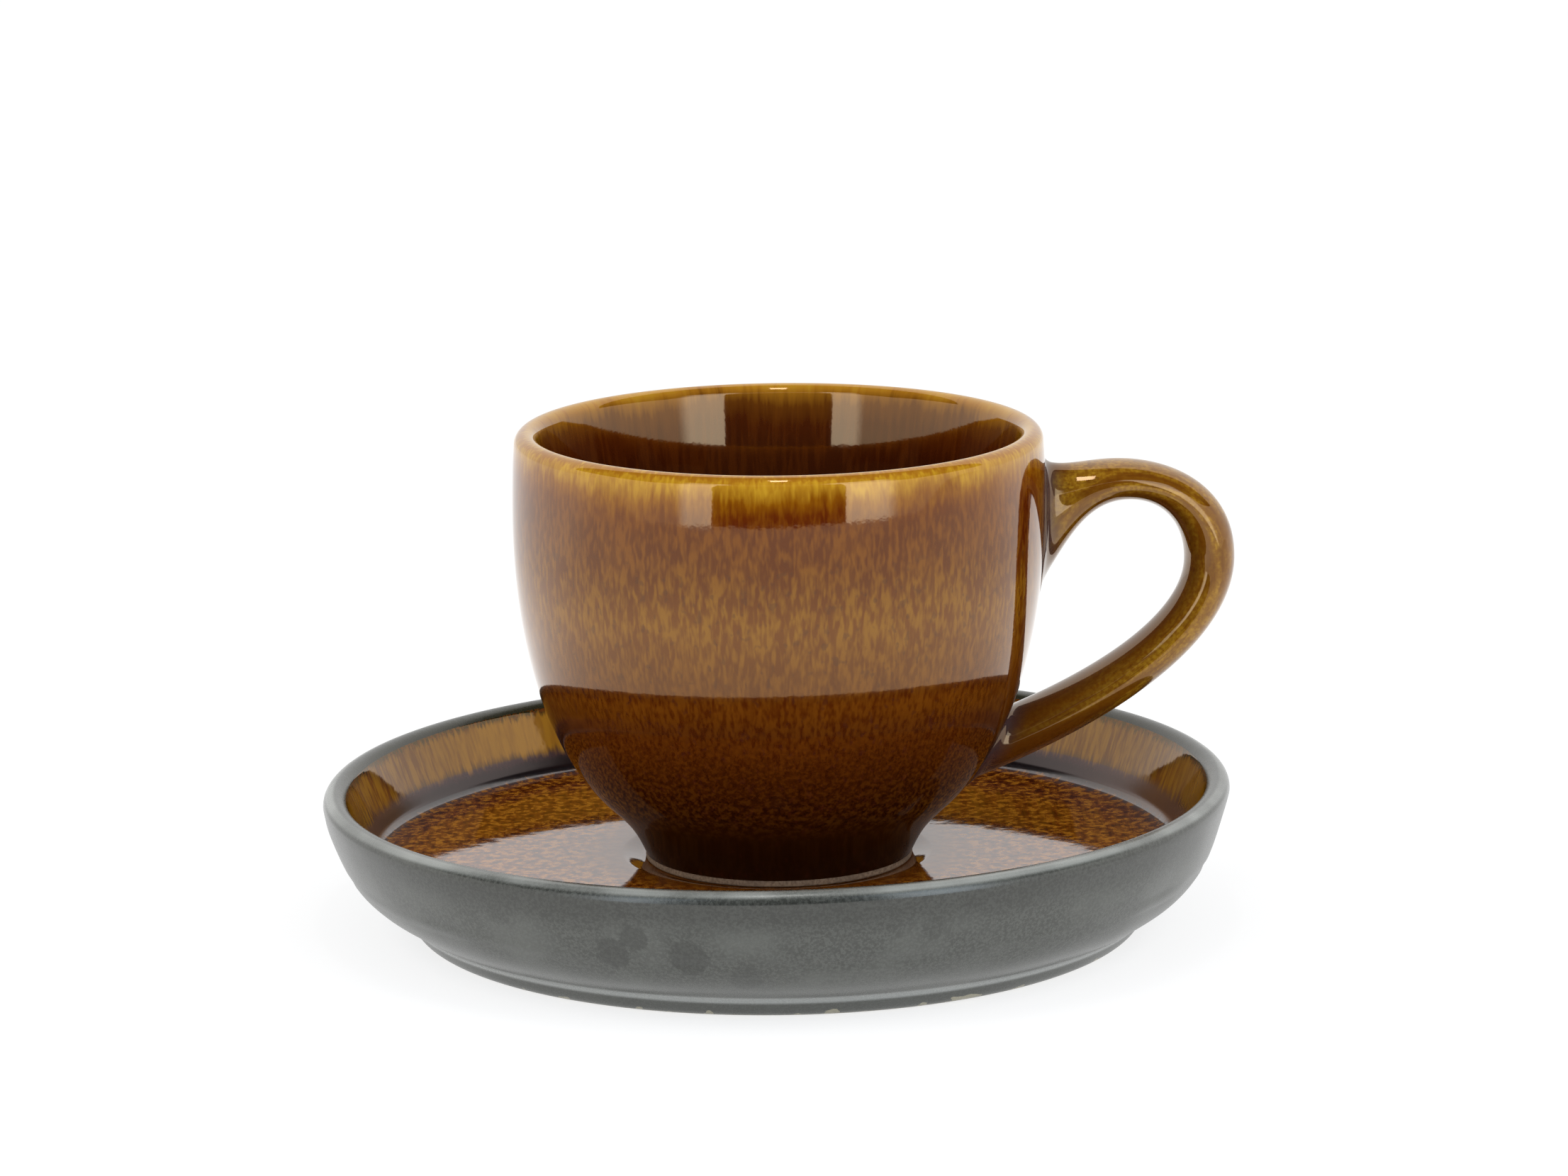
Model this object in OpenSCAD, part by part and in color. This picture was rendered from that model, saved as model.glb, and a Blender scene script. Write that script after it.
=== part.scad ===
// Espresso cup with saucer, thrown stoneware, in millimetres.
// The origin is the middle of the saucer's foot on the table, +Z is up and the handle points to +X.
// The cup stands loose in a shallow well in the saucer. Its handle is a separate lofted piece
// whose two roots are cut to the bowl's own outside, where slip and glaze join them.

/* [Saucer] */
// Outside diameter over the rim
saucer_d = 120; // [104:1:150]
// Height of the rim above the table
saucer_h = 19.4; // [16:0.2:28]
// Thickness of the rounded rim
saucer_rim_t = 3.2; // [2:0.2:5]
// Outside diameter of the ring that it stands on
saucer_foot_d = 93; // [80:0.2:98]
// Height of the foot ring's outside band
saucer_foot_h = 2.2; // [1.4:0.1:3.4]
// How far the band leans out over its height
saucer_foot_lean = 2.6; // [1:0.1:4]
// Width of the ring's standing face
saucer_foot_w = 5; // [3:0.2:9]
// Height of the floor's upper face above the table
saucer_floor_z = 9.5; // [8:0.1:12]
// Thickness of the floor under the cup
saucer_floor_t = 5.2; // [3.5:0.1:6]
// Slope of the outside wall where it leaves the foot band, in degrees
saucer_wall_angle = 38; // [25:1:60]
// Radius of the sweep between the floor and the wall inside
saucer_sweep_r = 1.8; // [1.2:0.1:4]
// How far the wall leans outwards inside, in degrees
saucer_in_lean = 21; // [15:1:27]

/* [Well for the cup] */
// Depth of the well below the floor
well_depth = 0.6; // [0.3:0.1:1.2]
// Gap all round between the cup's foot and the well's wall
well_clearance = 1; // [0.5:0.1:2]
// Width of the well's softened edge
well_edge = 0.5; // [0.2:0.1:1]

/* [Cup] */
// Diameter of the bowl at its widest
cup_d = 70; // [62:1:80]
// Height of the cup from its foot to its lip
cup_h = 57.6; // [52:0.2:70]
// Height of the widest place above the cup's foot
cup_belly_z = 47.5; // [42:0.5:49]
// Thickness of the rounded lip
cup_lip_t = 3.2; // [2.4:0.1:4.2]
// Thickness of the wall at the belly, where the inside stands upright
cup_wall = 4.8; // [3.6:0.1:6]
// How far the inside opens outwards at the lip, in degrees
cup_flare = 10; // [4:1:14]
// Diameter of the foot ring
cup_foot_d = 35.4; // [30:0.2:40]
// Height of the straight band at the foot
cup_foot_h = 0.9; // [0.6:0.1:2]
// Width of the foot ring's standing face
cup_foot_w = 3.4; // [2.4:0.1:5]
// Depth of the turned hollow under the foot
cup_foot_recess = 2.2; // [1:0.1:3]
// Thickness of the cup's floor over that hollow
cup_floor_t = 4.6; // [3:0.1:7]
// Height where the neck turns over into the bowl
cup_neck_z = 7.9; // [6:0.1:10]
// Diameter there
cup_neck_d = 45.9; // [42:0.1:48]
// Slope of the wall there, in degrees
cup_neck_angle = 43; // [35:1:55]

/* [Handle] */
// How far the handle reaches out from the bowl at its widest
handle_reach = 26; // [20:0.2:32]
// How far the handle's top lies below the lip
handle_drop = 5.8; // [3:0.1:8]
// Height of the furthest place above the cup's foot
handle_side_z = 38.3; // [34:0.1:43]
// Thickness at the top, where the strap is thinnest
handle_top_t = 5.4; // [4:0.1:7]
// Thickness at the side and along the lower run
handle_side_t = 6.6; // [5:0.1:8]
// Width of the strap across the thickness
handle_w = 9.6; // [7:0.2:13]
// Height of the upper root along the wall
root_upper_h = 18.8; // [14:0.2:22]
// Width of the upper root
root_upper_w = 12.4; // [10:0.2:16]
// Height of the lower root's bottom above the cup's foot
root_lower_z = 9.1; // [8:0.1:13]
// Height of the lower root along the wall
root_lower_h = 9.4; // [8:0.2:13]
// Width of the lower root
root_lower_w = 11.4; // [9:0.2:15]

/* [Hidden] */
$fn = 96;
// Steps along each curve of a profile, and over the half round of a lip
curve_steps = 12;
lip_steps = 10;
// Rings along each of the handle's three stretches, and points round each ring
ring_counts = [14, 16, 20];
ring_points = 28;

saucer_r = saucer_d / 2;
saucer_rim_r = saucer_rim_t / 2;
saucer_foot_r = saucer_foot_d / 2;
saucer_band_r = saucer_foot_r + saucer_foot_lean;
saucer_crease = saucer_foot_lean / 5;
saucer_recess_r = saucer_foot_r - saucer_foot_w;
well_z = saucer_floor_z - well_depth;
saucer_recess_z = well_z - saucer_floor_t;
saucer_edge_round = saucer_foot_w / 10;

cup_r = cup_d / 2;
cup_lip_r = cup_lip_t / 2;
cup_foot_r = cup_foot_d / 2;
cup_foot_bevel = cup_foot_h / 3;
cup_in_floor_z = cup_foot_recess + cup_floor_t;
well_r = cup_foot_r + well_clearance;

// Lengths of the curves' tangents, as shares of the spans that they cross, and slopes in degrees
saucer_wall_shares = [0.27, 0.85];
saucer_rim_lean = 13;
neck_shares = [0.55, 0.52];
neck_lean = 24;
lip_lean = 5;
lip_inset_share = 0.0875;
bowl_shares = [0.275, 0.46];
lip_in_shares = [0.35, 0.19];
flare_shares = [0.37, 0.37];
bowl_in_shares = [0.56, 0.57];
// Where the inside stands upright, and where its floor begins, as shares of the belly's height and the radius
side_in_share = 0.875;
bowl_in_flat_share = 0.26;

function bezier(p, t) =
    pow(1 - t, 3) * p[0] + 3 * pow(1 - t, 2) * t * p[1] + 3 * (1 - t) * t * t * p[2] + pow(t, 3) * p[3];
function curve(p, steps) = [for (i = [0 : steps]) bezier(p, i / steps)];
function arc(centre, r, from, to, steps) =
    [for (i = [0 : steps]) let (a = from + (to - from) * i / steps) centre + r * [cos(a), sin(a)]];
function along(angle) = [cos(angle), sin(angle)];

// The saucer's outside, from its standing face up to the outermost place of the rim
saucer_band_top = [saucer_band_r, saucer_foot_h];
saucer_wall_start = [saucer_band_r + saucer_crease, saucer_foot_h + saucer_crease];
saucer_wall_end = [saucer_r, saucer_h - saucer_rim_r];
saucer_wall_rise = saucer_wall_end[1] - saucer_wall_start[1];
saucer_outside = concat(
    curve([
        [saucer_foot_r - saucer_edge_round, 0],
        [saucer_foot_r + saucer_foot_lean / 2, 0],
        [saucer_band_r - saucer_foot_lean / 4, saucer_foot_h / 2],
        saucer_band_top
    ], curve_steps),
    curve([
        saucer_wall_start,
        saucer_wall_start + saucer_wall_rise * saucer_wall_shares[0] * along(saucer_wall_angle),
        saucer_wall_end - saucer_wall_rise * saucer_wall_shares[1] * along(90 - saucer_rim_lean),
        saucer_wall_end
    ], curve_steps)
);

// The saucer's inside, from the rim down the leaning wall and through the sweep to the floor
saucer_rim_centre = [saucer_r - saucer_rim_r, saucer_h - saucer_rim_r];
wall_top = saucer_rim_centre + saucer_rim_r * [-cos(saucer_in_lean), sin(saucer_in_lean)];
sweep_z = saucer_floor_z + saucer_sweep_r;
sweep_x = wall_top[0] - (wall_top[1] - sweep_z) * tan(saucer_in_lean) - saucer_sweep_r / cos(saucer_in_lean);
saucer_inside = concat(
    arc(saucer_rim_centre, saucer_rim_r, 0, 180 - saucer_in_lean, lip_steps),
    arc([sweep_x, sweep_z], saucer_sweep_r, -saucer_in_lean, -90, curve_steps)
);

// The bowl's outside in the cup's own heights, foot to lip
neck_start = [cup_foot_r, cup_foot_h];
neck_end = [cup_neck_d / 2, cup_neck_z];
neck_rise = cup_neck_z - cup_foot_h;
belly = [cup_r, cup_belly_z];
belly_rise = cup_belly_z - cup_neck_z;
lip_inset = cup_lip_t * lip_inset_share;
lip_centre = [cup_r - cup_lip_r - lip_inset, cup_h - cup_lip_r];
lip_start = lip_centre + cup_lip_r * along(lip_lean);
lip_rise = lip_start[1] - cup_belly_z;
bowl_outside = concat(
    [[cup_foot_r - cup_foot_bevel, 0], [cup_foot_r - cup_foot_bevel / 4, cup_foot_bevel]],
    curve([
        neck_start,
        neck_start + neck_rise * neck_shares[0] * along(90 - neck_lean),
        neck_end - neck_rise * neck_shares[1] * along(cup_neck_angle),
        neck_end
    ], curve_steps),
    curve([
        neck_end,
        neck_end + belly_rise * bowl_shares[0] * along(cup_neck_angle),
        belly - [0, belly_rise * bowl_shares[1]],
        belly
    ], 2 * curve_steps),
    curve([
        belly,
        belly + [0, lip_rise * lip_in_shares[0]],
        lip_start - lip_rise * lip_in_shares[1] * along(90 + lip_lean),
        lip_start
    ], curve_steps)
);

// The bowl's inside, which opens towards the lip, from the lip to the middle of the floor
mouth = lip_centre + cup_lip_r * [-cos(cup_flare), sin(cup_flare)];
side_in = [cup_r - cup_wall, cup_belly_z * side_in_share];
mouth_rise = mouth[1] - side_in[1];
floor_in = [cup_r * bowl_in_flat_share, cup_in_floor_z];
bowl_inside = concat(
    arc(lip_centre, cup_lip_r, lip_lean, 180 - cup_flare, lip_steps),
    curve([
        mouth,
        mouth - mouth_rise * flare_shares[0] * along(90 - cup_flare),
        side_in + [0, mouth_rise * flare_shares[1]],
        side_in
    ], curve_steps),
    curve([
        side_in,
        side_in - [0, (side_in[1] - cup_in_floor_z) * bowl_in_shares[0]],
        floor_in + [(side_in[0] - floor_in[0]) * bowl_in_shares[1], 0],
        floor_in
    ], 2 * curve_steps)
);

// Radius of the bowl's outside at a height above the cup's foot
wall_by_height = [for (p = bowl_outside) [p[1], p[0]]];
function wall_r(z) = lookup(z, wall_by_height);

// The handle's two rails, drawn in its own plane: the outer edge and the edge of the finger gap.
// Each runs through four stops: inside the wall at the upper root, over the top, round the side
// and back into the wall at the lower root.
root_bite = cup_lip_t / 2;
root_upper_top_z = cup_h - handle_drop + handle_top_t / 6;
root_upper_low_z = root_upper_top_z - root_upper_h;
root_lower_top_z = root_lower_z + root_lower_h;
crest_share = 0.405;
crest = [cup_r + handle_reach * crest_share, cup_h - handle_drop];
side = [cup_r + handle_reach, handle_side_z];
outer_stops = [
    [wall_r(root_upper_top_z) - root_bite, root_upper_top_z + root_bite],
    crest,
    side,
    [wall_r(root_lower_z) - root_bite, root_lower_z - root_bite / 2]
];
gap_stops = [
    [wall_r(root_upper_low_z) - root_bite, root_upper_low_z - root_bite],
    [crest[0] + handle_reach / 20, crest[1] - handle_top_t],
    [side[0] - handle_side_t, handle_side_z - handle_side_t / 16],
    [wall_r(root_lower_top_z) - root_bite, root_lower_top_z - root_bite / 2]
];
// Where the two inner control points of each stretch lie, as shares of its span in X and in Z
outer_shares = [[[0.15, 1.76], [0.54, 0.92]], [[0.5, 0.02], [1, 0.33]], [[0, 0.36], [0.36, 0.725]]];
gap_shares = [[[0.37, 0.485], [0.5, 1.025]], [[0.55, 0.025], [1, 0.4]], [[0, 0.36], [0.4, 0.71]]];

function between(a, b, shares) = [for (k = [0 : 1]) a[k] + (b[k] - a[k]) * shares[k]];
function stretch(a, b, shares) = [a, between(a, b, shares[0]), between(a, b, shares[1]), b];
function rail(stops, shares) = [
    for (s = [0 : len(ring_counts) - 1], i = [(s == 0 ? 0 : 1) : ring_counts[s]])
        bezier(stretch(stops[s], stops[s + 1], shares[s]), i / ring_counts[s])
];

// Half widths along the strap: wide at both roots, easing into the plain strap
function eased(x) = pow(max(0, 1 - x), 2);
root_upper_flare = (root_upper_w - handle_w) / 2;
root_lower_flare = (root_lower_w - handle_w) / 2;
flare_share = 0.22;
function half_width(u) =
    handle_w / 2 + root_upper_flare * eased(u / flare_share) + root_lower_flare * eased((1 - u) / flare_share);

module loft(rings) {
    sides = len(rings[0]);
    last = len(rings) - 1;
    polyhedron(
        points = [for (ring = rings, p = ring) p],
        faces = concat(
            [[for (k = [0 : sides - 1]) k]],
            [
                for (i = [0 : last - 1], k = [0 : sides - 1])
                    let (a = i * sides + k, b = i * sides + (k + 1) % sides) [a, a + sides, b]
            ],
            [
                for (i = [0 : last - 1], k = [0 : sides - 1])
                    let (a = i * sides + k, b = i * sides + (k + 1) % sides) [b, a + sides, b + sides]
            ],
            [[for (k = [sides - 1 : -1 : 0]) last * sides + k]]
        )
    );
}

module strap() {
    outer = rail(outer_stops, outer_shares);
    gap = rail(gap_stops, gap_shares);
    last = len(outer) - 1;
    loft([
        for (i = [0 : last])
            let (middle = (outer[i] + gap[i]) / 2, half = (outer[i] - gap[i]) / 2, w = half_width(i / last))
                [
                    for (k = [0 : ring_points - 1])
                        let (a = 360 * k / ring_points, p = middle + half * cos(a)) [p[0], w * sin(a), p[1]]
                ]
    ]);
}

// Everything inside the bowl's outer face, which the handle's roots are cut to
module bowl_envelope() {
    rotate_extrude()
        polygon(concat([[0, 0]], bowl_outside, [[lip_centre[0], cup_h], [0, cup_h]]));
}

module saucer() {
    color("dimgray")
        rotate_extrude()
            polygon(concat(
                [
                    [0, saucer_recess_z],
                    [saucer_recess_r - saucer_edge_round, saucer_recess_z],
                    [saucer_recess_r, saucer_recess_z - saucer_edge_round],
                    [saucer_recess_r, saucer_edge_round],
                    [saucer_recess_r + saucer_edge_round, 0]
                ],
                saucer_outside,
                saucer_inside,
                [
                    [well_r + well_edge, saucer_floor_z],
                    [well_r, saucer_floor_z - well_edge / 2],
                    [well_r, well_z],
                    [0, well_z]
                ]
            ));
}

module cup_body() {
    foot_in_r = cup_foot_r - cup_foot_w;
    color("saddlebrown")
        translate([0, 0, well_z])
            rotate_extrude()
                polygon(concat(
                    [
                        [0, cup_foot_recess],
                        [foot_in_r - cup_foot_bevel, cup_foot_recess],
                        [foot_in_r, cup_foot_recess - cup_foot_bevel],
                        [foot_in_r, cup_foot_bevel],
                        [foot_in_r + cup_foot_bevel, 0]
                    ],
                    bowl_outside,
                    bowl_inside,
                    [[0, cup_in_floor_z]]
                ));
}

module cup_handle() {
    color("darkgoldenrod")
        translate([0, 0, well_z])
            difference() {
                strap();
                bowl_envelope();
            }
}

saucer();
cup_body();
cup_handle();
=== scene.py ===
import math

import bmesh
import bpy
from mathutils import Matrix, Vector, noise
from mathutils.bvhtree import BVHTree
from mathutils.geometry import interpolate_bezier


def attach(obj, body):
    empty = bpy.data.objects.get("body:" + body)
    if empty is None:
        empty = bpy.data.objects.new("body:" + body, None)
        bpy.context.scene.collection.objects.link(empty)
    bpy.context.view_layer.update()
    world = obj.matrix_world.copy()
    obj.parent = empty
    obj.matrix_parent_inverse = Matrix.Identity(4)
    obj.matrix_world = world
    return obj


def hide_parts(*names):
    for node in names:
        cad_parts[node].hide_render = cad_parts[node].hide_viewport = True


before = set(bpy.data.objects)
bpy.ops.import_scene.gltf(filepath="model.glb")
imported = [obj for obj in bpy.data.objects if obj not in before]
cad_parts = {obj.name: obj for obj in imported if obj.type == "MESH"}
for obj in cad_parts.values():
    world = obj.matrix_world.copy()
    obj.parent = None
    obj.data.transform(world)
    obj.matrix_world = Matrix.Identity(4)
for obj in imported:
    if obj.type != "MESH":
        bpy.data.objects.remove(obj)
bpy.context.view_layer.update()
print("frame loaded")

mm = 0.001  # every size below is in millimetres and is turned into metres by this


# Outlines and revolved shells

def curvePoints(start, startPull, endPull, end, count):
    # a Bezier stretch of an outline, as (radius, height) pairs without its first point
    corners = [Vector((p[0], p[1], 0)) for p in (start, startPull, endPull, end)]
    return [(p.x, p.y) for p in interpolate_bezier(*corners, count)][1:]


def arcPoints(centre, radius, fromDegrees, toDegrees, count):
    step = (toDegrees - fromDegrees) / count
    angles = [math.radians(fromDegrees + step * i) for i in range(count + 1)]
    return [(centre[0] + radius * math.cos(a), centre[1] + radius * math.sin(a)) for a in angles]


def linePoints(start, end, count):
    shares = [(i + 1) / count for i in range(count)]
    return [(start[0] + (end[0] - start[0]) * s, start[1] + (end[1] - start[1]) * s) for s in shares]


def revolve(outline, steps, top):
    # spins an outline of (radius, height) pairs once round Z into a closed shell, and keeps on each
    # vertex its run, the way along the outline from the point numbered top, plus outside and minus inside
    bm = bmesh.new()
    runLayer = bm.verts.layers.float.new("run")
    lengths = [0]
    for a, b in zip(outline, outline[1:]):
        lengths.append(lengths[-1] + math.dist(a, b))
    spots = [bm.verts.new((r, 0, z)) for r, z in outline]
    for spot, length in zip(spots, lengths):
        spot[runLayer] = lengths[top] - length
    edges = [bm.edges.new(pair) for pair in zip(spots, spots[1:])]
    bmesh.ops.spin(bm, geom=spots + edges, cent=(0, 0, 0), axis=(0, 0, 1),
                   angle=math.tau, steps=steps, use_merge=True)
    bmesh.ops.remove_doubles(bm, verts=bm.verts, dist=0.0005)
    bmesh.ops.recalc_face_normals(bm, faces=bm.faces)
    return bm


def finishPiece(bm, name, materials, body, node):
    # turns millimetres into metres and hands the mesh over to the frame
    bmesh.ops.scale(bm, verts=bm.verts, vec=(mm, mm, mm))
    mesh = bpy.data.meshes.new(name)
    bm.to_mesh(mesh)
    bm.free()
    mesh.shade_smooth()
    for material in materials:
        mesh.materials.append(material)
    piece = bpy.data.objects.new(name, mesh)
    bpy.context.scene.collection.objects.link(piece)
    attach(piece, body)
    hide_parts(node)
    print(name, "has", len(mesh.polygons), "faces")


def paintRuns(bm, zones):
    # gives each face the number of the first zone whose (lowest run, highest run) holds its middle
    runLayer = bm.verts.layers.float["run"]
    for face in bm.faces:
        run = sum(v[runLayer] for v in face.verts) / len(face.verts)
        face.material_index = next((i for i, (low, high) in enumerate(zones) if low <= run < high), 0)


def smoothStep(low, high, value):
    t = min(1, max(0, (value - low) / (high - low)))
    return t * t * (3 - 2 * t)


# Camera

camera = {
    "place": (-99.904, -768.928, 210.9),
    "aim": (1.305, -0.172, 45.0),
    "roll": 0.0109,          # radians, the photograph leans a little
    "focalPixels": 8491.07,
    "frameWidth": 2212,
    "sensor": 36,
    "clip": (0.01, 50),      # metres
}


def addCamera(user):
    data = bpy.data.cameras.new("photoCamera")
    data.sensor_fit = "HORIZONTAL"
    data.sensor_width = user["sensor"]
    data.lens = user["focalPixels"] / user["frameWidth"] * user["sensor"]
    data.clip_start, data.clip_end = user["clip"]
    spot = bpy.data.objects.new("photoCamera", data)
    bpy.context.scene.collection.objects.link(spot)
    place = Vector(user["place"]) * mm
    forward = (Vector(user["aim"]) * mm - place).normalized()
    right = forward.cross(Vector((0, 0, 1))).normalized()
    up = right.cross(forward)
    c, s = math.cos(user["roll"]), math.sin(user["roll"])
    turned = Matrix((right * c - up * s, up * c + right * s, -forward)).transposed()
    spot.matrix_world = Matrix.Translation(place) @ turned.to_4x4()
    bpy.context.scene.camera = spot


addCamera(camera)
toRight = Matrix.Rotation(math.radians(-7.5), 3, "Z") @ Vector((1, 0, 0))  # the photograph's right


# Node helpers

class Nodes:
    # a short way to write a material's nodes: every call returns the socket it makes

    def __init__(self, tree):
        self.tree = tree

    def add(self, kind, **settings):
        node = self.tree.nodes.new(kind)
        for key, value in settings.items():
            setattr(node, key, value)
        return node

    def feed(self, socket, value):
        if isinstance(value, bpy.types.NodeSocket):
            self.tree.links.new(value, socket)
        elif isinstance(value, (tuple, list)) and len(value) == 3 and socket.type == "RGBA":
            socket.default_value = (*value, 1)
        else:
            socket.default_value = value

    def math(self, operation, a, b=0.0, c=0.0, clamp=False):
        node = self.add("ShaderNodeMath", operation=operation, use_clamp=clamp)
        for socket, value in zip(node.inputs, (a, b, c)):
            self.feed(socket, value)
        return node.outputs[0]

    def ramp(self, value, low, high, toLow=0.0, toHigh=1.0):
        # a smooth step from toLow to toHigh as value goes from low to high
        node = self.add("ShaderNodeMapRange", interpolation_type="SMOOTHSTEP")
        for name, number in (("Value", value), ("From Min", low), ("From Max", high),
                             ("To Min", toLow), ("To Max", toHigh)):
            self.feed(node.inputs[name], number)
        return node.outputs["Result"]

    def mix(self, share, first, second, blend="MIX"):
        node = self.add("ShaderNodeMix", data_type="RGBA", blend_type=blend)
        self.feed(node.inputs[0], share)
        self.feed(node.inputs[6], first)
        self.feed(node.inputs[7], second)
        return node.outputs[2]

    def noise(self, place, scale, detail=2.0, rough=0.5, spread=0.0):
        node = self.add("ShaderNodeTexNoise")
        self.feed(node.inputs["Vector"], place)
        self.feed(node.inputs["Scale"], scale)
        self.feed(node.inputs["Detail"], detail)
        self.feed(node.inputs["Roughness"], rough)
        self.feed(node.inputs["Distortion"], spread)
        return node.outputs["Fac"]

    def colours(self, value, reach, stops):
        # a colour for each value from 0 to reach, from a list of (value, colour)
        node = self.add("ShaderNodeValToRGB")
        self.feed(node.inputs[0], self.math("DIVIDE", value, reach))
        points = node.color_ramp.elements
        while len(points) < len(stops):
            points.new(0.5)
        for point, (at, colour) in zip(points, stops):
            point.position = at / reach
            point.color = (*colour, 1)
        return node.outputs[0]

    def attribute(self, name):
        return self.add("ShaderNodeAttribute", attribute_name=name).outputs["Fac"]

    def join(self, x, y, z):
        node = self.add("ShaderNodeCombineXYZ")
        for socket, value in zip(node.inputs, (x, y, z)):
            self.feed(socket, value)
        return node.outputs[0]

    def bump(self, height, distance, strength=1.0, before=None):
        node = self.add("ShaderNodeBump")
        self.feed(node.inputs["Strength"], strength)
        self.feed(node.inputs["Distance"], distance)
        self.feed(node.inputs["Height"], height)
        if before is not None:
            self.feed(node.inputs["Normal"], before)
        return node.outputs[0]


def newMaterial(name):
    material = bpy.data.materials.new(name)
    material.use_nodes = True
    n = Nodes(material.node_tree)
    shader = material.node_tree.nodes["Principled BSDF"]
    return material, n, shader


def potPlaces(n):
    # millimetre coordinates of a turned pot: across, round the axis and along its outline
    spot = n.add("ShaderNodeTexCoord").outputs["Object"]
    split = n.add("ShaderNodeSeparateXYZ")
    n.feed(split.inputs[0], spot)
    x, y, z = (n.math("DIVIDE", split.outputs[i], mm) for i in range(3))
    radius = n.math("SQRT", n.math("ADD", n.math("MULTIPLY", x, x), n.math("MULTIPLY", y, y)))
    wide = n.math("MAXIMUM", radius, 1.0)
    return {"x": x, "y": y, "z": z, "radius": radius, "run": n.attribute("run"),
            "east": n.math("DIVIDE", x, wide), "north": n.math("DIVIDE", y, wide)}


def wrapped(n, p, girth, wide, tall, shift=0.0):
    # a noise place that goes round a pot of that radius, for marks so wide and so tall
    return n.join(n.math("MULTIPLY_ADD", p["east"], girth / wide, shift),
                  n.math("MULTIPLY", p["north"], girth / wide),
                  n.math("DIVIDE", p["run"], tall))


def flat(n, p, wide, shift=0.0):
    return n.join(n.math("MULTIPLY_ADD", p["x"], 1 / wide, shift), n.math("DIVIDE", p["y"], wide),
                  n.math("DIVIDE", p["z"], wide))


def glossy(n, shader, user, tint="tint"):
    n.feed(shader.inputs["Roughness"], user["roughness"])
    n.feed(shader.inputs["IOR"], user["ior"])
    n.feed(shader.inputs["Specular Tint"], user[tint])


def glazeSkin(n, shader, p, user, ripples=("wave", "crinkle")):
    # slow waves of a poured glaze and the finer ripples that make its reflections ragged
    before = None
    for ripple in ripples:
        height = n.noise(flat(n, p, user[ripple + "Wide"]), 1.0, 1.0)
        before = n.bump(height, user[ripple + "Deep"] * mm, before=before)
    n.feed(shader.inputs["Normal"], before)


# Studio

studio = {
    "turn": -7.5,             # degrees that the camera's side is turned by
    "tableHalf": 3000,
    "tableFront": 430, "frontBow": 60,   # the front edge is an arc of that radius, so many degrees each way
    "paper": (0.86, 0.86, 0.86),
    "glow": 0.78, "shade": 0.26,
    # the paper's share of its light in gloss: at the middle, more for each mm backwards, still more for
    # each mm behind the middle, the limits, then a brighter ring's radius, gain and fall for each mm
    "paperMiddle": 0.88, "paperRise": 0.0014, "paperBack": 0.0019, "paperLimits": (0.5, 1.2),
    "paperRing": (140, 0.3, 0.0033),
    "worldLight": 0.78,
    "cardDistance": 474, "cardHalf": 248, "cardHeights": (-60, 360),
    "ceiling": (1500, 930, 330, 700),    # half width, reach in front, reach behind, height
    "cardColour": (0.02, 0.018, 0.016), "cardRoughness": 0.9,
    # white panels beside the card, a window over the table, then the lamps that shine on everything but
    # aren't mirrored: degrees from the camera's side, distance, height of the middle, width, tallness
    # and radiance
    "boxes": {"leftPanel": (-33.5, 640, 235, 260, 600, 2.0), "rightPanel": (37, 640, 235, 380, 600, 2.3),
              "topWindow": (0, 150, 640, 50, 170, 8.0),
              "leftLamp": (-58, 1000, 1000, 640, 700, 3.4), "rightLamp": (56, 1000, 1000, 640, 700, 3.4)},
    "boxAim": 40,             # height that they are aimed at
    "panelColour": (0.66, 0.82, 1.0), "panelSoft": 0.26,
    "secondMirror": 0.3,      # share of the paper's and the background's light left in a mirror's mirror
}


def backgroundShare(n):
    # 1 for what the camera sees by itself, in gloss or through glass
    path = n.add("ShaderNodeLightPath")
    seen = n.math("MAXIMUM", path.outputs["Is Camera Ray"], path.outputs["Is Glossy Ray"])
    return n.math("MAXIMUM", seen, path.outputs["Is Transmission Ray"])


def mirrorShare(n, user):
    # 1 in a first mirror and less in a mirror's mirror
    path = n.add("ShaderNodeLightPath")
    deep = n.math("GREATER_THAN", path.outputs["Glossy Depth"], 1.5)
    return n.math("MULTIPLY_ADD", deep, user["secondMirror"] - 1, 1.0)


def addWorld(user):
    world = bpy.data.worlds.new("whiteStudio")
    world.use_nodes = True
    bpy.context.scene.world = world
    n = Nodes(world.node_tree)
    background = world.node_tree.nodes["Background"]
    n.feed(background.inputs["Color"], (1, 1, 1))
    share = backgroundShare(n)
    strength = n.math("MULTIPLY_ADD", share, 1 - user["worldLight"], user["worldLight"])
    n.feed(background.inputs["Strength"], n.math("MULTIPLY", strength, mirrorShare(n, user)))


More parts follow.
